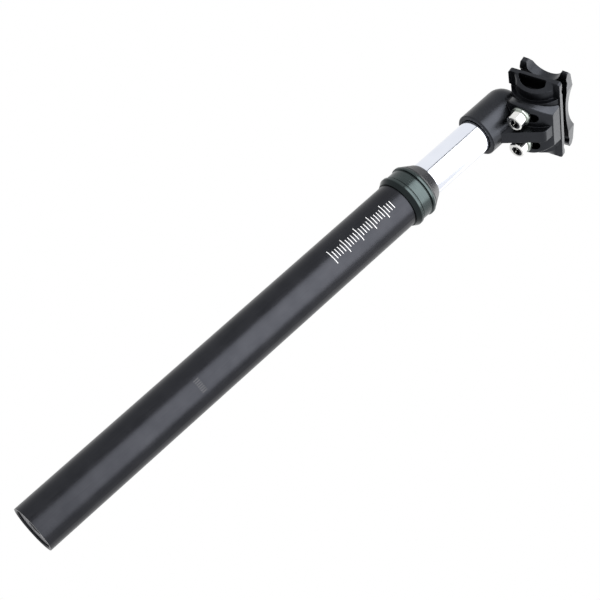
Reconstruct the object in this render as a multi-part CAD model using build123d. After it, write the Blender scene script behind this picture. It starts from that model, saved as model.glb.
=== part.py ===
"""Suspension seatpost for a bicycle: a coil-sprung telescopic post with a two-bolt saddle clamp.

Frame: +Z up along the post, origin at the centre of the outer tube's lower end,
+X rearward (the side that the clamp is set back to), +Y to the rider's left, lengths in mm.
"""
import os
from math import asin, cos, degrees, hypot, radians, sin, sqrt

from build123d import *

# ---------------------------------------------------------------- driving dimensions
# clearances
slide_gap = 0.05          # stanchion in its bushes, radial
fixed_gap = 0.02          # pieces that are pressed or screwed together, radial
seat_gap = 0.10           # curved seats that turn on each other
rest_gap = 0.30           # pieces that stop just short of each other
hole_gap = 0.30           # bolt in a clearance hole, radial

# telescopic tubes
stanchion_od = 20.5
stanchion_wall = 2.6
bush_wall = 1.6
tube_wall = 1.7
tube_body_length = 262.5  # lower end of the tube to the collar
neck_length = 9.5         # reduced upper end that carries the collar's thread
neck_step = 0.7
end_chamfer = 0.6
travel = 40.0
stanchion_reserve = 2.9   # stanchion that still shows at full travel

# collar nut and wiper
collar_rim_overhang = 0.7
collar_flange_overhang = 2.3
collar_waist_overhang = 1.5
collar_flare_height = 2.7
collar_flange_height = 1.6
collar_groove_height = 0.7
collar_waist_height = 7.0
collar_top_height = 2.8
collar_edge = 0.3
collar_relief = 0.3        # groove floors below the waist
collar_shoulder = 1.3
collar_step = 0.5
collar_top_inset = 0.9
wiper_height = 7.2
wiper_lip_wall = 0.5
wiper_root_height = 3.0
wiper_skirt_inset = 1.2
wiper_skirt_height = 0.8
wiper_tip_wall = 1.2
wiper_tip_height = 0.9

# guides
upper_bush_length = 22.0
bush_spacing = 30.0
guide_sleeve_length = 30.0
guide_pin_count = 3
guide_pin_diameter = 2.2
guide_pin_length = 26.0
bush_flange_height = 1.2

# stanchion end and spring
bumper_height = 7.7
end_cap_flange = 6.0
end_cap_spigot = 9.0
piston_ring_height = 3.0
piston_ring_wall = 0.9
spring_wire = 3.2
spring_turns = 9
spring_clearance = 1.2    # coil to tube bore, radial
spring_spigot = 10.0
spring_fit = 0.2          # coil over its spigots, radial
spigot_bevel = 1.0
seat_spigot = 3.0
seat_flange = 5.0
spacer_length = 36.8
spacer_wall = 2.2
elastomer_diameter = 10.0
elastomer_length = 50.0

# preload plug
plug_recess = 1.2
plug_height = 13.0
plug_hex = 8.0
plug_hex_depth = 8.0
plug_bevel = 0.5
preload_travel = 8.0

# head casting
socket_wall = 2.95
socket_depth = 18.1
mouth_recess = 1.0
mouth_recess_width = 0.6
mouth_bevel = 0.5
clamp_setback = 15.0      # post axis to tilt axis
clamp_height = 39.0       # socket mouth to tilt axis
seat_radius = 16.2
platform_wall = 4.1
platform_front = 61.0     # degrees of the platform ahead of straight down
platform_rear = 59.0      # degrees of it behind
platform_radius = 18.5    # its outline from above
platform_shift = 3.5      # centre of that outline behind the tilt axis
platform_lip_drop = 3.8   # tilt axis down to the platform's rear lip
platform_lip_wall = 0.9
platform_corner_round = 3.0
platform_edge_round = 1.6
dome_top_drop = 7.4       # tilt axis down to the column's flat top
dome_height = 7.5
dome_inset = 3.8
web_thickness = 8.0
web_reach = 17.0          # tilt axis to the web's rear end
web_foot = 7.0            # socket mouth to where the web leaves the column
web_slope = 38.0
web_end_round = 3.0
slot_spare = 4.0          # degrees of slot beyond the bolt's foremost place
tilt_up = 20.0            # degrees that the rails' rear end can rise from rest
tilt_down = 0.0

# saddle clamp
rail_diameter = 7.0
rail_spacing = 44.0
rail_tilt = 13.0          # rails against the plane square to the post
rail_drop = 1.5           # rail axis below the tilt axis
clamp_width = 57.6
lip_inset = 0.5           # cradle's front and rear lips short of the seat radius
jaw_gap = 5.4             # between the jaws' outer lips
cradle_plate = 2.8        # plate that carries the rail channels
barrel_inset = 0.7        # barrel's ends inside the platform's width
drum_drop = 2.6           # drum's radius below the seat radius
drum_inset = 5.2          # drum's ends inside the plate's ends
cradle_rim = 1.8
pocket_drop = 2.1         # lip to the pocket's upper edge
pocket_rear = 41.4        # degrees behind straight down
pocket_depth = 9.0
pocket_round = 0.75
plate_corner_round = 1.8
end_facets = 9
land_height = 1.2
land_inset = 4.0
land_margin = 0.6
upper_jaw_crest = 7.0     # jaw lip to the highest line of the horns
upper_jaw_knee = 5.1      # jaw lip to the horn's top above the rail's outer side
upper_jaw_tip = 2.7       # jaw lip to the top of a horn's tip
upper_tip_lift = 1.5
upper_jaw_dip = 4.0
upper_pitch = 4.0         # degrees that the upper jaw thickens towards the front
upper_front_cut = 2.8     # front horns that end short of the cradle's lip
horn_width = 3.8
horn_shoulder = 6.5       # highest line inside the rail axis
horn_round = 0.8
upper_waist_depth = 9.2
upper_end_depth = 1.2
clamp_open_travel = 4.0

# clamp bolts
bolt_diameter = 6.0
bolt_spacing = 21.6
bolt_lean = 7.5           # bolts against the post, tops forward
bolt_head_diameter = 9.6
bolt_head_height = 5.9
bolt_head_bevel = 0.6
bolt_hex = 5.0
bolt_hex_depth = 3.2
bolt_top_reach = 4.0      # thread that stands above the tilt axis
washer_diameter = 11.6
washer_thickness = 1.3

# ---------------------------------------------------------------- derived sizes
stanchion_r = stanchion_od / 2
bush_r = stanchion_r + slide_gap
tube_bore_r = bush_r + bush_wall
tube_r = tube_bore_r + tube_wall
neck_r = tube_r - neck_step

collar_z = tube_body_length
tube_top = tube_body_length + neck_length
flare_top = collar_z + collar_flare_height
flange_top = flare_top + collar_flange_height
groove_top = flange_top + collar_groove_height
waist_top = groove_top + collar_waist_height
collar_top = waist_top + collar_top_height
wiper_top = collar_top + wiper_height
mouth_z = wiper_top + travel + stanchion_reserve
stanchion_top = mouth_z + socket_depth
tilt_x = clamp_setback
tilt_z = mouth_z + clamp_height

sleeve_top = tube_top - upper_bush_length - bush_spacing
sleeve_bottom = sleeve_top - guide_sleeve_length
pin_bottom = sleeve_bottom + (guide_sleeve_length - guide_pin_length) / 2
stanchion_bottom = sleeve_bottom - rest_gap - bumper_height
cap_bottom = stanchion_bottom - end_cap_flange
plug_top = plug_recess + plug_height
seat_bottom = plug_top + spacer_length
seat_top = seat_bottom + seat_flange
spring_length = cap_bottom - seat_top
coil_r = tube_bore_r - spring_clearance - spring_wire / 2
spigot_r = coil_r - spring_wire / 2 - spring_fit

platform_r = seat_radius + platform_wall
rail_half = rail_spacing / 2
rail_r = rail_diameter / 2
lower_lip = -rail_drop - jaw_gap / 2
upper_lip = -rail_drop + jaw_gap / 2
bolt_half = bolt_spacing / 2
bolt_r = bolt_diameter / 2
lip_x = seat_radius - lip_inset
lower_land_half = rail_half - rail_r - land_margin
UP = (Align.CENTER, Align.CENTER, Align.MIN)

clamp_frame = Location((tilt_x, 0, tilt_z), (0, -rail_tilt, 0))


def bolt_frame(side):
    """Frame on the tilt axis with its Z along one bolt, pointing up; side is +1 or -1."""
    return Location((tilt_x, side * bolt_half, tilt_z), (0, -bolt_lean, 0))


# ---------------------------------------------------------------- small helpers
def ring(outer_r, inner_r, z0, z1):
    """Plain sleeve between two heights."""
    height = z1 - z0
    return Pos(0, 0, z0) * (Cylinder(outer_r, height, align=UP) - Cylinder(inner_r, height, align=UP))


def lathe(points):
    """Solid of revolution about Z from a closed outline of (radius, height) points."""
    return revolve(Plane.XZ * make_face(Polyline(*points, close=True)), Axis.Z)


def hex_socket(across_flats, depth):
    """Hexagonal blind hole from z = 0 upwards, with the cone that a drill leaves above it."""
    corner_r = across_flats / 2 / cos(radians(30))
    drill_r = across_flats / 2
    return extrude(RegularPolygon(corner_r, 6), depth) + Pos(0, 0, depth) * Cone(
        drill_r, drill_r / 8, drill_r / 2, align=UP)


def side_plate(edges, half_width):
    """Outline in the X-Z plane, extruded both ways along Y."""
    return extrude(Plane.XZ * make_face(edges), half_width, both=True)


def polar(radius, angle):
    """Point at an angle from straight down, rearward positive, about the origin in (x, z)."""
    return (radius * sin(radians(angle)), -radius * cos(radians(angle)))


# ---------------------------------------------------------------- outer tube group
def outer_tube():
    bevel = end_chamfer
    return lathe([
        (tube_r, 0), (tube_r, collar_z), (neck_r, collar_z), (neck_r, tube_top),
        (tube_bore_r, tube_top), (tube_bore_r, bevel), (tube_bore_r + bevel, 0),
    ])


def collar_nut():
    bore = neck_r + slide_gap
    rim = tube_r + collar_rim_overhang
    flange = tube_r + collar_flange_overhang
    waist = tube_r + collar_waist_overhang
    wiper_seat = stanchion_r + 3 * wiper_lip_wall
    bush_seat = tube_top + bush_flange_height
    groove = waist - collar_relief
    return lathe([
        (bore, collar_z + fixed_gap), (rim, collar_z + fixed_gap), (flange, flare_top),
        (flange, flange_top - collar_edge), (flange - collar_edge, flange_top), (groove, flange_top),
        (groove, groove_top), (waist, groove_top + collar_edge), (waist, waist_top - 2 * collar_edge),
        (groove, waist_top - collar_edge), (groove, waist_top), (flange, waist_top + collar_edge),
        (flange, collar_top - collar_shoulder),
        (flange - collar_step, collar_top - collar_shoulder + collar_edge),
        (flange - collar_top_inset, collar_top),
        (wiper_seat, collar_top), (wiper_seat, bush_seat), (bore, bush_seat),
    ])


def wiper_seal():
    lip = stanchion_r + slide_gap
    root = stanchion_r + 3 * wiper_lip_wall - fixed_gap
    skirt = tube_r + collar_flange_overhang - wiper_skirt_inset
    return lathe([
        (lip, collar_top - wiper_root_height), (root, collar_top - wiper_root_height),
        (root, collar_top + fixed_gap), (skirt, collar_top + fixed_gap),
        (skirt, collar_top + wiper_skirt_height),
        (skirt - wiper_lip_wall, collar_top + 2 * wiper_skirt_height),
        (lip + wiper_tip_wall, wiper_top - wiper_tip_height), (lip + wiper_lip_wall, wiper_top),
        (lip, wiper_top),
    ])


def upper_bush():
    sleeve_r = tube_bore_r - fixed_gap
    flange_z = tube_top + fixed_gap
    return lathe([
        (bush_r, tube_top - upper_bush_length), (sleeve_r, tube_top - upper_bush_length),
        (sleeve_r, flange_z), (neck_r, flange_z), (neck_r, tube_top + bush_flange_height - fixed_gap),
        (bush_r, tube_top + bush_flange_height - fixed_gap),
    ])


def pin_locations():
    return PolarLocations(bush_r, guide_pin_count)


def guide_sleeve():
    sleeve = ring(tube_bore_r - fixed_gap, bush_r, sleeve_bottom, sleeve_top)
    pocket = Pos(0, 0, pin_bottom) * Cylinder(
        guide_pin_diameter / 2 + fixed_gap, guide_pin_length, align=UP)
    return sleeve - pin_locations() * pocket


def guide_pins():
    pin = Pos(0, 0, pin_bottom) * Cylinder(guide_pin_diameter / 2, guide_pin_length, align=UP)
    return [place * pin for place in pin_locations()]


# ---------------------------------------------------------------- stanchion group
def stanchion():
    bore_r = stanchion_r - stanchion_wall
    tube = ring(stanchion_r, bore_r, stanchion_bottom, stanchion_top)
    groove_top_z = pin_bottom + guide_pin_length + travel + 2 * rest_gap
    groove = Pos(0, 0, stanchion_bottom) * Cylinder(
        guide_pin_diameter / 2 + slide_gap + fixed_gap, groove_top_z - stanchion_bottom, align=UP)
    return tube - pin_locations() * groove


def stanchion_end_cap():
    bore_r = stanchion_r - stanchion_wall - fixed_gap
    flange_r = tube_bore_r - rest_gap
    groove_z = cap_bottom + (end_cap_flange - piston_ring_height) / 2
    groove_r = tube_bore_r - slide_gap - piston_ring_wall - fixed_gap
    body = lathe([
        (0, cap_bottom - spring_spigot), (spigot_r - spigot_bevel, cap_bottom - spring_spigot),
        (spigot_r, cap_bottom - spring_spigot + spigot_bevel), (spigot_r, cap_bottom),
        (flange_r, cap_bottom), (flange_r, groove_z), (groove_r, groove_z),
        (groove_r, groove_z + piston_ring_height), (flange_r, groove_z + piston_ring_height),
        (flange_r, stanchion_bottom), (bore_r, stanchion_bottom),
        (bore_r, stanchion_bottom + end_cap_spigot), (0, stanchion_bottom + end_cap_spigot),
    ])
    return body


def piston_ring():
    groove_z = cap_bottom + (end_cap_flange - piston_ring_height) / 2
    outer = tube_bore_r - slide_gap
    return ring(outer, outer - piston_ring_wall, groove_z + fixed_gap,
                groove_z + piston_ring_height - fixed_gap)


def topout_bumper():
    return ring(tube_bore_r - rest_gap, stanchion_r + slide_gap, stanchion_bottom, sleeve_bottom - rest_gap)


def main_spring():
    path = Helix(pitch=(spring_length - spring_wire) / spring_turns,
                 height=spring_length - spring_wire, radius=coil_r)
    wire = Plane(origin=path @ 0, z_dir=path % 0) * Circle(spring_wire / 2)
    return Pos(0, 0, seat_top + spring_wire / 2) * sweep(wire, path)


# ---------------------------------------------------------------- preload group
def spring_seat():
    flange_r = tube_bore_r - rest_gap
    cup_r = flange_r - spacer_wall - fixed_gap
    return lathe([
        (0, seat_bottom - seat_spigot), (cup_r, seat_bottom - seat_spigot), (cup_r, seat_bottom),
        (flange_r, seat_bottom), (flange_r, seat_top), (spigot_r, seat_top),
        (spigot_r, seat_top + spring_spigot - spigot_bevel),
        (spigot_r - spigot_bevel, seat_top + spring_spigot), (0, seat_top + spring_spigot),
    ])


def spacer_tube():
    outer = tube_bore_r - rest_gap
    return ring(outer, outer - spacer_wall, plug_top, seat_bottom)


def elastomer_bumper():
    base = seat_top + spring_spigot
    return Pos(0, 0, base) * Cylinder(elastomer_diameter / 2, elastomer_length, align=UP)


def preload_plug():
    outer = tube_bore_r - slide_gap
    plug = Pos(0, 0, plug_recess) * Cylinder(outer, plug_height, align=UP)
    plug = chamfer(plug.edges().group_by(Axis.Z)[0], plug_bevel)
    return plug - Pos(0, 0, plug_recess) * hex_socket(plug_hex, plug_hex_depth)


# ---------------------------------------------------------------- head casting
def at_tilt(solid):
    """Move a solid that was drawn about the tilt axis to its place."""
    return Pos(tilt_x, 0, tilt_z) * solid


def seat_arc(radius, start, end):
    """Arc about the tilt axis, between two angles from straight down."""
    return ThreePointArc(polar(radius, start), polar(radius, (start + end) / 2), polar(radius, end))


def platform():
    """The curved platform under the cradle, drawn about the tilt axis."""
    outer_arc = seat_arc(platform_r, -platform_front, platform_rear)
    lip_angle = 90 - degrees(asin(platform_lip_drop / seat_radius))
    inner_arc = seat_arc(seat_radius, -platform_front, lip_angle)
    lip_in = inner_arc @ 1
    lip_out = (lip_in.X + platform_lip_wall, lip_in.Y)
    section = side_plate([
        inner_arc,
        Line(lip_in, lip_out),
        Line(lip_out, outer_arc @ 1),
        outer_arc,
        Line(outer_arc @ 0, inner_arc @ 0),
    ], platform_radius)
    rear = (outer_arc @ 1).X
    plan = Pos(platform_shift, 0) * Circle(platform_radius)
    plan &= Pos(rear, 0) * Rectangle(4 * platform_radius, 4 * platform_radius, align=(Align.MAX, Align.CENTER))
    plan = fillet(plan.vertices().filter_by(lambda v: abs(v.Y) > 0 and v.X > platform_shift), platform_corner_round)
    body = section & Pos(0, 0, -2 * platform_r) * extrude(plan, 2 * platform_r)
    rim = body.edges().filter_by(
        lambda e: abs((e @ 0.5).Y) > platform_radius / 2
        and abs(hypot((e @ 0.5).X, (e @ 0.5).Z) - platform_r) < fixed_gap)
    return fillet(rim, platform_edge_round)


def swing_cut(side, r, reach):
    """Room for a round shape on a bolt's axis to swing with the cradle about the tilt axis."""
    low = bolt_lean - tilt_down - slot_spare
    high = bolt_lean + tilt_up
    wedge = side_plate([
        Line((0, 0), polar(reach, low)),
        Line(polar(reach, low), polar(reach, high)),
        Line(polar(reach, high), (0, 0)),
    ], r)
    ends = [Rot(0, 180 - angle, 0) * Cylinder(r, reach, align=UP) for angle in (low, high)]
    return Pos(0, side * bolt_half, 0) * (wedge + ends[0] + ends[1])


def column():
    """The socket's outer shape with its domed top, about the post axis, at the tilt axis's height."""
    socket_r = stanchion_r + socket_wall
    top = -dome_top_drop
    shoulder = top - dome_height
    dome_r = (dome_inset * dome_inset + dome_height * dome_height) / (2 * dome_inset)
    turn = asin(dome_height / dome_r) / 2
    mid = (socket_r - dome_r + dome_r * cos(turn), shoulder + dome_r * sin(turn))
    outline = [
        Line((0, -clamp_height), (socket_r - mouth_bevel, -clamp_height)),
        Line((socket_r - mouth_bevel, -clamp_height), (socket_r, mouth_bevel - clamp_height)),
        Line((socket_r, mouth_bevel - clamp_height), (socket_r, shoulder)),
        ThreePointArc((socket_r, shoulder), mid, (socket_r - dome_inset, top)),
        Line((socket_r - dome_inset, top), (0, top)),
        Line((0, top), (0, -clamp_height)),
    ]
    return revolve(Plane.XZ * make_face(outline), Axis.Z)


def web():
    """Rib between the bolts, from the column up to the platform's rear face."""
    foot_x = stanchion_r + socket_wall - tilt_x
    foot_z = web_foot - clamp_height
    slope = sin(radians(web_slope)) / cos(radians(web_slope))
    inside = foot_x - web_end_round
    end_z = foot_z + (web_reach - foot_x) * slope
    # the top lies in the platform's wall, and the seat trims what stands inside it
    roof_z = polar(seat_radius + platform_wall / 2, platform_rear)[1]
    plate = side_plate([
        Line((inside, foot_z - web_end_round * slope), (web_reach, end_z)),
        Line((web_reach, end_z), (web_reach, roof_z)),
        Line((web_reach, roof_z), (inside, roof_z)),
        Line((inside, roof_z), (inside, foot_z - web_end_round * slope)),
    ], web_thickness / 2)
    heel = plate.edges().filter_by(Axis.Y).sort_by(lambda e: e.center().X - e.center().Z)[-1]
    return fillet(heel, web_end_round)


def head_casting():
    body = Pos(-tilt_x, 0, 0) * column() + web()
    # concave seat, open sideways
    body -= Rot(90, 0, 0) * Cylinder(seat_radius, 4 * platform_radius)
    body += platform()
    for side in (1, -1):
        body -= swing_cut(side, bolt_r + hole_gap, platform_r + bolt_head_height)
    body = at_tilt(body)
    body -= Pos(0, 0, mouth_z) * Cylinder(stanchion_r + fixed_gap, socket_depth + rest_gap, align=UP)
    body -= Pos(0, 0, mouth_z) * Cylinder(stanchion_r + mouth_recess_width, mouth_recess, align=UP)
    return body


# ---------------------------------------------------------------- saddle clamp
def bolt_hole(side, radius):
    """Clearance or thread hole through a clamp jaw, in the world frame."""
    return bolt_frame(side) * Cylinder(radius, 4 * seat_radius)


def rail_groove(side):
    """Room for one saddle rail, in the clamp's own frame."""
    return Pos(0, side * rail_half, -rail_drop) * Rot(0, 90, 0) * Cylinder(rail_r, 4 * lip_x)


def cradle_end(drum_r, under, flat):
    """End of the cradle outside the drum, from the drum's rim out to the plate's lower edge."""
    wide = clamp_width / 2
    reach = sqrt(drum_r * drum_r - under * under)
    inner = [(-lip_x, lower_lip), (-lip_x, under), (-reach, under)]
    outer = [(-lip_x, lower_lip), (-lip_x, under), (-reach, under)]
    for step in range(1, end_facets):
        x = -reach + 2 * reach * step / end_facets
        inner.append((x, -sqrt(drum_r * drum_r - x * x)))
        outer.append((x, under - flat))
    closing = [(reach, under), (lip_x, under), (lip_x, lower_lip)]
    rim = Plane.XZ.offset(-wide + drum_inset) * make_face(Polyline(*inner, *closing, close=True))
    edge = Plane.XZ.offset(-wide) * make_face(Polyline(*outer, *closing, close=True))
    end = loft([rim, edge], ruled=True)
    corners = end.edges().filter_by(Axis.Z).filter_by(lambda e: abs(abs(e.center().Y) - wide) < fixed_gap)
    return fillet(corners, plate_corner_round)


def lower_cradle():
    r = seat_radius - seat_gap
    drum_r = seat_radius - drum_drop
    wide = clamp_width / 2
    under = lower_lip - cradle_plate
    front = (-sqrt(r * r - lower_lip * lower_lip), lower_lip)
    rear = (sqrt(r * r - under * under), under)
    # barrel that turns in the seat, with the plate's rear lip
    body = side_plate([
        ThreePointArc(front, (0, -r), rear),
        Line(rear, (lip_x, under)),
        Line((lip_x, under), (lip_x, lower_lip)),
        Line((lip_x, lower_lip), front),
    ], platform_radius - barrel_inset)
    # drum and plate outside the platform
    drum_x = sqrt(drum_r * drum_r - under * under)
    drum = side_plate([
        ThreePointArc((-drum_x, under), (0, -drum_r), (drum_x, under)),
        Line((drum_x, under), (lip_x, under)),
        Line((lip_x, under), (lip_x, lower_lip)),
        Line((lip_x, lower_lip), (-lip_x, lower_lip)),
        Line((-lip_x, lower_lip), (-lip_x, under)),
        Line((-lip_x, under), (-drum_x, under)),
    ], wide - drum_inset)
    clear = platform_radius + rest_gap
    ahead = Box(4 * lip_x, 2 * clear, 4 * lip_x, align=(Align.MAX, Align.CENTER, Align.CENTER))
    ahead -= Rot(90, 0, 0) * Cylinder(r, 4 * wide)
    body += drum - ahead
    tip = cradle_end(drum_r, under, fixed_gap)
    body += tip + mirror(tip, Plane.XZ)
    # crescent pocket in each end
    rim_r = drum_r - cradle_rim
    top = lower_lip - pocket_drop
    left = -sqrt(rim_r * rim_r - top * top)
    right, right_low = polar(rim_r, pocket_rear)
    pocket = side_plate([
        ThreePointArc((left, top), polar(rim_r, 0), (right, right_low)),
        Line((right, right_low), (right, top)),
        Line((right, top), (left, top)),
    ], pocket_depth)
    pocket = fillet(pocket.edges().filter_by(Axis.Y), pocket_round)
    for side in (1, -1):
        body -= Pos(0, side * wide, 0) * pocket
    # land between the rails
    body += Pos(0, 0, lower_lip - land_height) * Box(
        2 * (lip_x - land_inset), 2 * lower_land_half, 2 * land_height, align=UP)
    body -= rail_groove(1) + rail_groove(-1)
    body = clamp_frame * body
    return body - bolt_hole(1, bolt_r + hole_gap) - bolt_hole(-1, bolt_r + hole_gap)


def waist_cut(half_chord, depth, height):
    """Upright cylinder that bites an arc of the given depth; its axis stands that far outside."""
    bite_r = (half_chord * half_chord + depth * depth) / (2 * depth)
    return bite_r, Cylinder(bite_r, height)


def jaw_section(low, lift):
    """Section of the upper jaw across the rails, its underside at a height, its top raised by lift."""
    wide = clamp_width / 2
    crest = upper_lip + upper_jaw_crest + lift
    knee = upper_lip + upper_jaw_knee + lift
    tip = upper_lip + upper_jaw_tip + lift
    shoulder = rail_half - horn_shoulder
    groove_out = rail_half + rail_r
    return Plane.YZ * make_face([
        Line((-groove_out, low), (groove_out, low)),
        Line((groove_out, low), (wide, low + upper_tip_lift)),
        Line((wide, low + upper_tip_lift), (wide, tip)),
        Line((wide, tip), (groove_out, knee)),
        Line((groove_out, knee), (shoulder, crest)),
        ThreePointArc((shoulder, crest), (0, crest - upper_jaw_dip), (-shoulder, crest)),
        Line((-shoulder, crest), (-groove_out, knee)),
        Line((-groove_out, knee), (-wide, tip)),
        Line((-wide, tip), (-wide, low + upper_tip_lift)),
        Line((-wide, low + upper_tip_lift), (-groove_out, low)),
    ])


def upper_clamp():
    wide = clamp_width / 2
    front = upper_front_cut - lip_x
    length = lip_x - front
    middle = (lip_x + front) / 2
    groove_out = rail_half + rail_r
    # straight underside, top that rises towards the front
    under = Pos(middle, 0, 0) * extrude(jaw_section(upper_lip, length), length / 2, both=True)
    over = extrude(jaw_section(upper_lip - length, 0), 2 * length, both=True)
    body = under & Pos(lip_x, 0, 0) * Rot(0, upper_pitch, 0) * over
    body += Pos(middle, 0, upper_lip - land_height) * Box(
        length - 2 * land_inset, 2 * lower_land_half, 2 * land_height, align=UP)
    # waists at the sides, front and rear leave four horns
    side_r, side_bite = waist_cut(length / 2 - horn_width, upper_waist_depth, 4 * length)
    end_r, end_bite = waist_cut(rail_half - horn_shoulder, upper_end_depth, 4 * length)
    body -= Pos(front + upper_end_depth - end_r, 0, 0) * end_bite
    body -= Pos(lip_x - upper_end_depth + end_r, 0, 0) * end_bite
    for side in (1, -1):
        body -= Pos(middle, side * (wide - upper_waist_depth + side_r), 0) * side_bite
    tips = body.edges().filter_by(Axis.Z).filter_by(lambda e: abs(e.center().Y) > groove_out)
    body = fillet(tips, horn_round)
    body -= rail_groove(1) + rail_groove(-1)
    body = clamp_frame * body
    return body - bolt_hole(1, bolt_r + slide_gap) - bolt_hole(-1, bolt_r + slide_gap)


def clamp_bolt(side):
    seat = -platform_r - seat_gap - washer_thickness
    length = -seat + bolt_top_reach
    head = Pos(0, 0, seat - bolt_head_height) * Cylinder(bolt_head_diameter / 2, bolt_head_height, align=UP)
    head = chamfer(head.edges().group_by(Axis.Z)[0], bolt_head_bevel)
    shank = Pos(0, 0, seat) * Cylinder(bolt_r, length, align=UP)
    shank = chamfer(shank.edges().group_by(Axis.Z)[-1], bolt_head_bevel)
    bolt = head + shank - Pos(0, 0, seat - bolt_head_height) * hex_socket(bolt_hex, bolt_hex_depth)
    return bolt_frame(side) * bolt


def bolt_washer(side):
    """Round washer with a hollow top that rides on the platform's curved underside."""
    top = platform_r + seat_gap
    blank = Pos(0, 0, -top - washer_thickness) * Cylinder(washer_diameter / 2, washer_thickness + 2, align=UP)
    blank -= Pos(0, 0, -top - washer_thickness) * Cylinder(bolt_r + hole_gap, washer_thickness + 2, align=UP)
    washer = blank - Rot(90, 0, 0) * Cylinder(top, washer_diameter + 2)
    return bolt_frame(side) * washer


# ---------------------------------------------------------------- assembly
def build():
    pieces = {
        "outer_tube": outer_tube(),
        "collar_nut": collar_nut(),
        "wiper_seal": wiper_seal(),
        "upper_bush": upper_bush(),
        "guide_sleeve": guide_sleeve(),
        "stanchion": stanchion(),
        "stanchion_end_cap": stanchion_end_cap(),
        "piston_ring": piston_ring(),
        "topout_bumper": topout_bumper(),
        "main_spring": main_spring(),
        "spring_seat": spring_seat(),
        "spacer_tube": spacer_tube(),
        "elastomer_bumper": elastomer_bumper(),
        "preload_plug": preload_plug(),
        "head_casting": head_casting(),
        "lower_cradle": lower_cradle(),
        "upper_clamp": upper_clamp(),
        "left_bolt": clamp_bolt(1),
        "right_bolt": clamp_bolt(-1),
        "left_washer": bolt_washer(1),
        "right_washer": bolt_washer(-1),
    }
    for number, pin in enumerate(guide_pins(), start=1):
        pieces[f"guide_pin_{number}"] = pin
    return pieces


os.makedirs("parts", exist_ok=True)
for node, solid in build().items():
    export_step(solid, f"parts/{node}.step")
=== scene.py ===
"""Finishes, marks, light and camera for the suspension seatpost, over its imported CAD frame.

Every length is in metres. The post stands upright along +Z, with its tube's axis on the origin.
"""
from math import atan2, ceil, cos, pi, radians, sin, tan

import bpy
from mathutils import Matrix, Vector


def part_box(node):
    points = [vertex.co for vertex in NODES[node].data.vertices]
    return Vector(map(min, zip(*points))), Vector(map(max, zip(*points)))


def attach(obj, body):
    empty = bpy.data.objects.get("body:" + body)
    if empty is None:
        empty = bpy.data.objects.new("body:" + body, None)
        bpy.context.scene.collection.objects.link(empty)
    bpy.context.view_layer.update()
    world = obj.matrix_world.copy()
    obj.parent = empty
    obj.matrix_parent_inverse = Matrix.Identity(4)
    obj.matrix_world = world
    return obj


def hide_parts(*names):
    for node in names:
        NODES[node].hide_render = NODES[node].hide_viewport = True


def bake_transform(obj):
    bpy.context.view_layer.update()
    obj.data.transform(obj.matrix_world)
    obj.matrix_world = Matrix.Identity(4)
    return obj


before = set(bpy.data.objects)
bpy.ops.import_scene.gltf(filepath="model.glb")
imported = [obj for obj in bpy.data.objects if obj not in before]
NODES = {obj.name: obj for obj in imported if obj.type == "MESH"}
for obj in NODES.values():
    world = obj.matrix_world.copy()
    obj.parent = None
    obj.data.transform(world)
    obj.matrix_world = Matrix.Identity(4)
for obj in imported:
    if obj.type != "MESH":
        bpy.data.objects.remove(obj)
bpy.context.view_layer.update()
MM = 0.001

# Camera, fitted to the photograph's outlines. Lens and sensor are in millimetres.
CAMERA_AT = Vector((0.4257, -0.6127, -0.0863))
CAMERA_AIM = Vector((0.00259, 0.0018, 0.1832))
CAMERA_ROLL = radians(48.277)
CAMERA_LENS = 89.7
SENSOR = 36.0
CLIP_NEAR = 0.01
CLIP_FAR = 20

# Floor, a square round the post. It fades to white between two distances from its middle.
FLOOR_Z = -0.30
FLOOR_TONE = 0.85
FLOOR_GLOW = 0.4              # share of white near the post
FLOOR_NEAR = 0.3
FLOOR_FAR = 1.6

# Light. A lamp's left and right edges are azimuths seen from the post, counted from the
# camera's side, lift is the elevation of its middle, and height is its size the other way.
AMBIENT = 0.30                # the world's light on the object, where 1 is the white background
SOFTBOX_DISTANCE = 1.1
SOFTBOXES = {
    "key": dict(left=radians(-24), right=radians(60), lift=radians(26), height=1.1, radiance=4.0),
    "fill": dict(left=radians(74), right=radians(134), lift=radians(52), height=0.7, radiance=1.5),
}
FLAG_WIDTH = 0.42
FLAG_REACH = 1.4              # the flag's height as a share of the key's
FLAG_TONE = 0.5
MATT = 0.9                    # roughness of the stage

# Printed marks. Sides are counted from the camera's side of the tube.
PRINT_LIFT = 0.02 * MM        # clearance over the tube
PRINT_FACET = 0.8 * MM        # longest flat round the tube
SCALE_SIDE = radians(-10)
SCALE_LOW = 208 * MM
SCALE_HIGH = 254 * MM
SCALE_STEP = 2.0 * MM
SCALE_GROUP = 5               # steps from one long tick to the next
LONG_TICK = 9 * MM
SHORT_TICK = 5 * MM
TICK_STROKE = 0.45 * MM
HATCH_SIDE = radians(8)
HATCH_Z = 108 * MM
HATCH_COUNT = 7
HATCH_PITCH = 1.2 * MM
HATCH_STROKE = 0.35 * MM
HATCH_TALL = 3.2 * MM

# Bolts. Each points up its axis, with the socket head at the lower end.
BOLT_LEAN = radians(7.5)      # of the axis from +Z towards -X
BOLT_HEAD_WIDTH = 9.6 * MM
SOCKET_RADIUS = 3.05 * MM     # takes in the socket's corners and the shank
SOCKET_DEPTH = 5.4 * MM
THREAD_PITCH = 1.0 * MM
THREAD_DEPTH = 0.2 * MM

# Collar. Painted shade darkens its flare up to one height above its foot, and ends at the next.
FLARE_FULL = 2.2 * MM
FLARE_END = 3.0 * MM
FLARE_PAINTED_SHADE = 0.75            # share of the painted shade's dark colour


def put(name, data, matrix=Matrix()):
    """Object in the scene with this mesh, lamp or camera."""
    thing = bpy.data.objects.new(name, data)
    thing.matrix_world = matrix
    bpy.context.scene.collection.objects.link(thing)
    return thing


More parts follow.
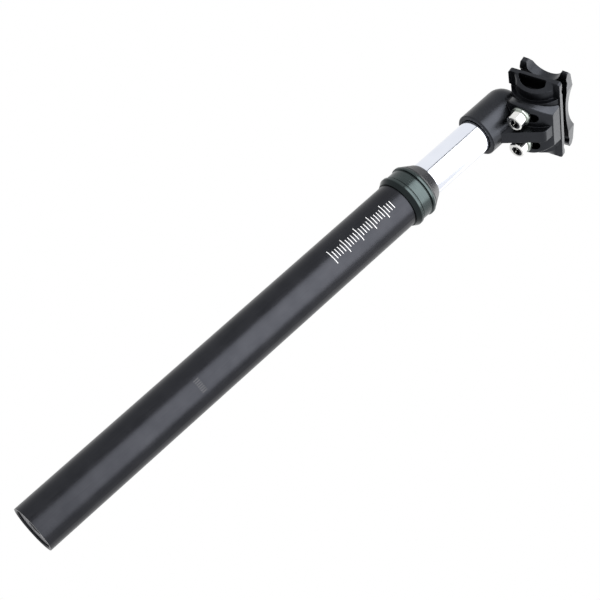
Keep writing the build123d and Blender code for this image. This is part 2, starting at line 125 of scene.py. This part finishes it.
# ---------------------------------------------------------------- node patterns
def add(tree, kind, inputs=(), **settings):
    """New node with its settings and its input values, given by socket name or number."""
    node = tree.nodes.new("ShaderNode" + kind)
    for key, value in settings.items():
        setattr(node, key, value)
    for key, value in dict(inputs).items():
        if isinstance(value, bpy.types.NodeSocket):
            tree.links.new(value, node.inputs[key])
        else:
            node.inputs[key].default_value = value
    return node


def place(tree):
    """Coordinates that stay with the piece, in metres."""
    return add(tree, "TexCoord").outputs["Object"]


def noise(tree, size, stretch=(1, 1, 1), detail=3.0):
    """Noise from 0 to 1 with features of a size, drawn out where the stretch is small."""
    stretched = add(tree, "Mapping", {"Vector": place(tree), "Scale": stretch}).outputs[0]
    pattern = add(tree, "TexNoise", {"Vector": stretched, "Scale": 1 / size, "Detail": detail})
    return pattern.outputs[0]


def between(tree, value, low, high, start=0.3, end=0.7):
    """A value's range from start to end, turned into one from low to high."""
    return add(tree, "MapRange", {
        "Value": value, "From Min": start, "From Max": end,
        "To Min": low, "To Max": high}).outputs[0]


def blend_colour(tree, amount, first, second):
    """Mix of two colours, each given by its RGB values or by a socket."""
    first, second = (colour if isinstance(colour, bpy.types.NodeSocket) else (*colour, 1)
                     for colour in (first, second))
    return add(tree, "Mix", {0: amount, 6: first, 7: second}, data_type="RGBA").outputs[2]


def math(tree, operation, first, second=0.0):
    return add(tree, "Math", {0: first, 1: second}, operation=operation).outputs[0]


def vector_math(tree, operation, first, second=(0, 0, 0), output="Vector"):
    return add(tree, "VectorMath", {0: first, 1: second}, operation=operation).outputs[output]


def length(tree, vector):
    return vector_math(tree, "LENGTH", vector, output="Value")


def relief(tree, height, depth, normal=None):
    """Bump of a depth in metres over another normal."""
    inputs = {"Height": height, "Distance": depth, "Strength": 1.0}
    if normal is not None:
        inputs["Normal"] = normal
    return add(tree, "Bump", inputs).outputs[0]


def soft_edges(tree, radius):
    return add(tree, "Bevel", {"Radius": radius}, samples=6).outputs[0]


def new_finish(name, roughness, metallic=1.0):
    """Principled material; returns (material, node tree, shader)."""
    material = bpy.data.materials.new(name)
    material.use_nodes = True
    shader = material.node_tree.nodes["Principled BSDF"]
    shader.inputs["Metallic"].default_value = metallic
    shader.inputs["Roughness"].default_value = roughness
    return material, material.node_tree, shader


def grained(name, dark, light, roughness, metallic=1.0, size=0.4 * MM, stretch=(1, 1, 1),
            depth=0.01 * MM, spread=0.08, edge=0.0, cloud=12 * MM):
    """Finish with a fine grain in its relief, gloss and colour, and slow clouds in its colour.

    The grain has a size, a stretch and a depth, its gloss spreads to both sides of the
    roughness, and edge is the radius that the piece's edges are shaded with.
    """
    material, tree, shader = new_finish(name, roughness, metallic)
    grain = noise(tree, size, stretch)
    clouds = noise(tree, cloud, detail=2.0)
    tone = between(tree, math(tree, "MULTIPLY", math(tree, "ADD", clouds, grain), 0.5), 0, 1)
    gloss = between(tree, grain, roughness - spread, roughness + spread)
    normal = soft_edges(tree, edge) if edge else None
    tree.links.new(blend_colour(tree, tone, dark, light), shader.inputs["Base Color"])
    tree.links.new(gloss, shader.inputs["Roughness"])
    tree.links.new(relief(tree, grain, depth, normal), shader.inputs["Normal"])
    return material


# ---------------------------------------------------------------- finishes
ALONG_POST = (1, 1, 0.02)
AROUND_POST = (0.02, 0.02, 1)


def anodised_tube():
    """Satin black anodising over the tube's lengthwise brushing."""
    return grained("black_anodised_tube", (0.022, 0.023, 0.027), (0.034, 0.035, 0.040), 0.34,
                   size=0.25 * MM, stretch=ALONG_POST, depth=0.002 * MM, spread=0.05)


def turned_collar():
    """Grey-green anodising over the collar's turned lines, with painted shade on the flare at its
    foot.
    """
    material = grained("turned_collar", (0.032, 0.041, 0.042), (0.064, 0.079, 0.079), 0.27,
                       size=0.18 * MM, stretch=AROUND_POST, depth=0.004 * MM, edge=0.15 * MM)
    tree = material.node_tree
    colour = tree.nodes["Principled BSDF"].inputs["Base Color"]
    foot = (NODES["collar_nut"].matrix_world.inverted() @ Vector(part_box("collar_nut")[0])).z
    height = add(tree, "SeparateXYZ", {0: place(tree)}).outputs[2]
    # painted shade: the flare near the collar's foot is blended towards near-black
    flare = between(tree, height, FLARE_PAINTED_SHADE, 0.0, foot + FLARE_FULL, foot + FLARE_END)
    machined = colour.links[0].from_socket
    tree.links.new(blend_colour(tree, flare, machined, (0.010, 0.012, 0.013)), colour)
    return material


def wiper_rubber():
    return grained("wiper_rubber", (0.009, 0.009, 0.011), (0.018, 0.018, 0.021), 0.38, metallic=0.0,
                   size=0.3 * MM, depth=0.006 * MM)


def polished_shaft():
    """Polished alloy with faint lengthwise lines."""
    return grained("polished_shaft", (0.76, 0.79, 0.87), (0.82, 0.85, 0.92), 0.12,
                   size=0.2 * MM, stretch=ALONG_POST, depth=0.0004 * MM, spread=0.03)


def forged_black(name, edge):
    """Satin black over a forging's fine blasted grain, with its edges worn soft."""
    return grained(name, (0.025, 0.027, 0.031), (0.039, 0.041, 0.047), 0.32,
                   size=0.35 * MM, depth=0.008 * MM, spread=0.07, edge=edge)


def bolt_places(tree, bolt):
    """Height above a bolt's lower end along its axis, and distance from that axis."""
    low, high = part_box(bolt)
    axis = Vector((-sin(BOLT_LEAN), 0, cos(BOLT_LEAN)))
    middle = (Vector(low) + Vector(high)) / 2
    bolt_length = (high[2] - low[2] - BOLT_HEAD_WIDTH * sin(BOLT_LEAN)) / cos(BOLT_LEAN)
    to_local = NODES[bolt].matrix_world.inverted()
    foot = to_local @ (middle - axis * bolt_length / 2)
    local_axis = tuple((to_local.to_3x3() @ axis).normalized())
    point = vector_math(tree, "SUBTRACT", place(tree), tuple(foot))
    along = vector_math(tree, "DOT_PRODUCT", point, local_axis, "Value")
    away = length(tree, vector_math(tree, "CROSS_PRODUCT", point, local_axis))
    return along, away


def bolt_plating(bolt):
    """Bright plating, with painted shade in the hex socket, and the shank's thread as relief."""
    material, tree, shader = new_finish(bolt + "_nickel", 0.2)
    along, away = bolt_places(tree, bolt)
    inner = math(tree, "LESS_THAN", away, SOCKET_RADIUS)
    socket_painted_shade = math(tree, "MULTIPLY", inner, math(tree, "LESS_THAN", along, SOCKET_DEPTH))
    on_shank = math(tree, "MULTIPLY", inner, math(tree, "GREATER_THAN", along, SOCKET_DEPTH))
    grain = noise(tree, 0.3 * MM)
    plated = blend_colour(tree, between(tree, grain, 0, 1), (0.72, 0.72, 0.70), (0.86, 0.86, 0.84))
    # painted shade: the hex socket is coloured near-black
    colour = blend_colour(tree, socket_painted_shade, plated, (0.035, 0.035, 0.04))
    wave = math(tree, "SINE", math(tree, "MULTIPLY", along, 2 * pi / THREAD_PITCH))
    ridge = math(tree, "MULTIPLY", wave, on_shank)
    thread = relief(tree, ridge, THREAD_DEPTH, soft_edges(tree, 0.15 * MM))
    tree.links.new(colour, shader.inputs["Base Color"])
    tree.links.new(between(tree, grain, 0.10, 0.20), shader.inputs["Roughness"])
    tree.links.new(relief(tree, grain, 0.001 * MM, thread), shader.inputs["Normal"])
    return material


def washer_zinc():
    # zinc plating darker than the bolts': partly its own tone, partly painted shade under the head
    return grained("washer_zinc", (0.36, 0.40, 0.37), (0.50, 0.54, 0.50), 0.24,
                   size=0.25 * MM, depth=0.001 * MM, edge=0.12 * MM)


def machined_aluminium():
    return grained("machined_aluminium", (0.30, 0.31, 0.33), (0.46, 0.47, 0.49), 0.32,
                   size=0.2 * MM, stretch=AROUND_POST, depth=0.004 * MM, edge=0.12 * MM)


def plug_plastic():
    return grained("plug_plastic", (0.10, 0.10, 0.11), (0.16, 0.16, 0.17), 0.42, metallic=0.0,
                   size=0.4 * MM, depth=0.01 * MM, edge=0.12 * MM)


def spring_steel():
    return grained("spring_steel", (0.36, 0.37, 0.38), (0.52, 0.52, 0.53), 0.26,
                   size=0.3 * MM, depth=0.005 * MM)


def bush_nylon():
    return grained("bush_nylon", (0.66, 0.66, 0.62), (0.76, 0.76, 0.72), 0.45, metallic=0.0,
                   size=0.5 * MM, depth=0.008 * MM)


def damper_rubber():
    return grained("damper_rubber", (0.05, 0.05, 0.05), (0.09, 0.09, 0.09), 0.6, metallic=0.0,
                   size=0.4 * MM, depth=0.02 * MM)


def print_white():
    return grained("print_white", (0.74, 0.74, 0.74), (0.84, 0.84, 0.84), 0.5, metallic=0.0,
                   size=0.2 * MM, depth=0.002 * MM)


def print_grey():
    return grained("print_grey", (0.06, 0.06, 0.065), (0.10, 0.10, 0.105), 0.5, metallic=0.0,
                   size=0.2 * MM, depth=0.002 * MM)


def paint(material, *names):
    """Give a material to every slot of these CAD nodes."""
    for name in names:
        for slot in NODES[name].material_slots:
            slot.material = material


def paint_nodes():
    paint(anodised_tube(), "outer_tube")
    paint(turned_collar(), "collar_nut")
    paint(wiper_rubber(), "wiper_seal")
    paint(polished_shaft(), "stanchion")
    paint(forged_black("head_forging", 0.5 * MM), "head_casting")
    paint(forged_black("clamp_forging", 0.3 * MM), "lower_cradle", "upper_clamp")
    for bolt in ("left_bolt", "right_bolt"):
        paint(bolt_plating(bolt), bolt)
    paint(washer_zinc(), "left_washer", "right_washer")
    paint(machined_aluminium(), "stanchion_end_cap", "spring_seat")
    paint(plug_plastic(), "preload_plug")
    paint(spring_steel(), "main_spring", "guide_pin_1", "guide_pin_2", "guide_pin_3")
    paint(bush_nylon(), "upper_bush", "guide_sleeve", "spacer_tube", "piston_ring")
    paint(damper_rubber(), "topout_bumper", "elastomer_bumper")


# ---------------------------------------------------------------- printed marks
def camera_side():
    """Azimuth of the camera seen from the post."""
    away = CAMERA_AT - CAMERA_AIM
    return atan2(away.y, away.x)


def tube_radius():
    low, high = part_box("outer_tube")
    return (high[0] - low[0]) / 2


def print_marks(name, marks, material):
    """Thin patches on the tube, each given by its middle (azimuth, height) and size (round, up)."""
    radius = tube_radius() + PRINT_LIFT
    points = []
    faces = []
    for azimuth, z, width, tall in marks:
        steps = max(2, ceil(width / PRINT_FACET))
        start = len(points)
        for step in range(steps + 1):
            angle = azimuth + width / radius * (step / steps - 0.5)
            for level in (z - tall / 2, z + tall / 2):
                points.append((radius * cos(angle), radius * sin(angle), level))
        for step in range(steps):
            corner = start + 2 * step
            faces.append((corner, corner + 2, corner + 3, corner + 1))
    mesh = bpy.data.meshes.new(name)
    mesh.from_pydata(points, [], faces)
    mesh.materials.append(material)
    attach(put(name, mesh), "post")


def depth_scale():
    """Plain insertion scale: short ticks, and a long one for each group."""
    side = camera_side() + SCALE_SIDE
    count = round((SCALE_HIGH - SCALE_LOW) / SCALE_STEP)
    marks = []
    for number in range(count + 1):
        width = SHORT_TICK if number % SCALE_GROUP else LONG_TICK
        marks.append((side, SCALE_LOW + number * SCALE_STEP, width, TICK_STROKE))
    print_marks("depth_scale", marks, print_white())


def insertion_hatch():
    """Faint row of upright strokes that marks the least insertion."""
    side = camera_side() + HATCH_SIDE
    pitch = HATCH_PITCH / tube_radius()
    middle = (HATCH_COUNT - 1) / 2
    marks = [(side + (number - middle) * pitch, HATCH_Z, HATCH_STROKE, HATCH_TALL)
             for number in range(HATCH_COUNT)]
    print_marks("insertion_hatch", marks, print_grey())


# ---------------------------------------------------------------- spring copy
def compressing_spring():
    """Copy of the main spring in its place, with its own steel finish, standing in for the hidden
    CAD spring.
    """
    spring = NODES["main_spring"]
    coil = put("spring_coil", spring.data.copy(), spring.matrix_world)
    coil.data.materials.clear()
    coil.data.materials.append(spring_steel())
    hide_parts("main_spring")
    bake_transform(coil)


# ---------------------------------------------------------------- stage
def stage_plane(name, width, height, matrix, material):
    """Rectangle of the stage, in the plane of a matrix's X and Y."""
    x, y = width / 2, height / 2
    mesh = bpy.data.meshes.new(name)
    mesh.from_pydata([(-x, -y, 0), (x, -y, 0), (x, y, 0), (-x, y, 0)], [], [(0, 1, 2, 3)])
    mesh.materials.append(material)
    plane = put(name, mesh, matrix)
    return plane


def matt_grey(name, tone):
    """Plain finish of the stage; returns (material, node tree, shader)."""
    material, tree, shader = new_finish(name, MATT, 0.0)
    shader.inputs["Base Color"].default_value = (tone, tone, tone, 1)
    return material, tree, shader


def seen_directly(tree):
    """1 for camera, mirror and glass rays, and 0 for light that falls on the object."""
    path = add(tree, "LightPath")
    seen = math(tree, "ADD", path.outputs["Is Camera Ray"], path.outputs["Is Glossy Ray"])
    return math(tree, "MINIMUM", math(tree, "ADD", seen, path.outputs["Is Transmission Ray"]), 1.0)


def floor_finish():
    """Pale matt floor that fades to the white background, and is clear from below."""
    material, tree, shader = matt_grey("floor", FLOOR_TONE)
    fade = between(tree, length(tree, place(tree)), FLOOR_GLOW, 1.0, FLOOR_NEAR, FLOOR_FAR)
    share = math(tree, "MULTIPLY", fade, seen_directly(tree))
    white = add(tree, "Emission", {"Color": (1, 1, 1, 1), "Strength": 1.0})
    topside = add(tree, "MixShader", {0: share, 1: shader.outputs[0], 2: white.outputs[0]})
    underside = add(tree, "BsdfTransparent")
    from_below = add(tree, "NewGeometry").outputs["Backfacing"]
    sided = add(tree, "MixShader", {0: from_below, 1: topside.outputs[0], 2: underside.outputs[0]})
    tree.links.new(sided.outputs[0], tree.nodes["Material Output"].inputs["Surface"])
    return material


def make_world():
    """White to the camera and in reflections, and softer as light on the object."""
    world = bpy.data.worlds.new("studio")
    bpy.context.scene.world = world
    world.use_nodes = True
    tree = world.node_tree
    strength = between(tree, seen_directly(tree), AMBIENT, 1.0, 0.0, 1.0)
    background = tree.nodes["Background"]
    background.inputs["Color"].default_value = (1, 1, 1, 1)
    tree.links.new(strength, background.inputs["Strength"])


def facing(position, target):
    """Matrix at a position whose -Z looks at the target, with its Y up."""
    away = (position - target).normalized()
    side = Vector((0, 0, 1)).cross(away).normalized()
    matrix = Matrix((side, away.cross(side), away)).transposed().to_4x4()
    matrix.translation = position
    return matrix


def softbox(name, left, right, lift, height, radiance):
    """Wide soft lamp that fills the stretch between two azimuths, turned towards the post."""
    target = Vector((0, 0, CAMERA_AIM.z))
    middle = camera_side() + (left + right) / 2
    level = Vector((cos(middle), sin(middle), 0)) * cos(lift)
    position = target + (level + Vector((0, 0, sin(lift)))) * SOFTBOX_DISTANCE
    data = bpy.data.lights.new(name, "AREA")
    data.shape = "RECTANGLE"
    data.size = 2 * SOFTBOX_DISTANCE * tan((right - left) / 2)
    data.size_y = height
    data.energy = radiance * pi * data.size * data.size_y   # a flat lamp's power
    lamp = put(name, data, facing(position, target))
    lamp.visible_camera = False
    return lamp


def make_lights():
    """Softboxes, with a grey flag beside the key's left edge that shows only in reflections."""
    lamps = {name: softbox(name, **shape) for name, shape in SOFTBOXES.items()}
    key = lamps["key"]
    beside = key.matrix_world @ Vector((-(key.data.size + FLAG_WIDTH) / 2, 0, 0))
    matrix = facing(beside, Vector((0, 0, CAMERA_AIM.z)))
    grey = matt_grey("flag", FLAG_TONE)[0]
    flag = stage_plane("flag", FLAG_WIDTH, FLAG_REACH * key.data.size_y, matrix, grey)
    flag.visible_camera = False
    flag.visible_diffuse = False


def make_floor():
    level = Matrix.Translation((0, 0, FLOOR_Z))
    stage_plane("floor", 2 * FLOOR_FAR, 2 * FLOOR_FAR, level, floor_finish())


def make_camera():
    data = bpy.data.cameras.new("camera")
    data.lens = CAMERA_LENS
    data.sensor_width = SENSOR
    data.clip_start = CLIP_NEAR
    data.clip_end = CLIP_FAR
    turned = facing(CAMERA_AT, CAMERA_AIM) @ Matrix.Rotation(CAMERA_ROLL, 4, "Z")
    bpy.context.scene.camera = put("camera", data, turned)


paint_nodes()
depth_scale()
insertion_hatch()
compressing_spring()
make_floor()
make_world()
make_lights()
make_camera()
bpy.context.scene.view_settings.view_transform = "Standard"
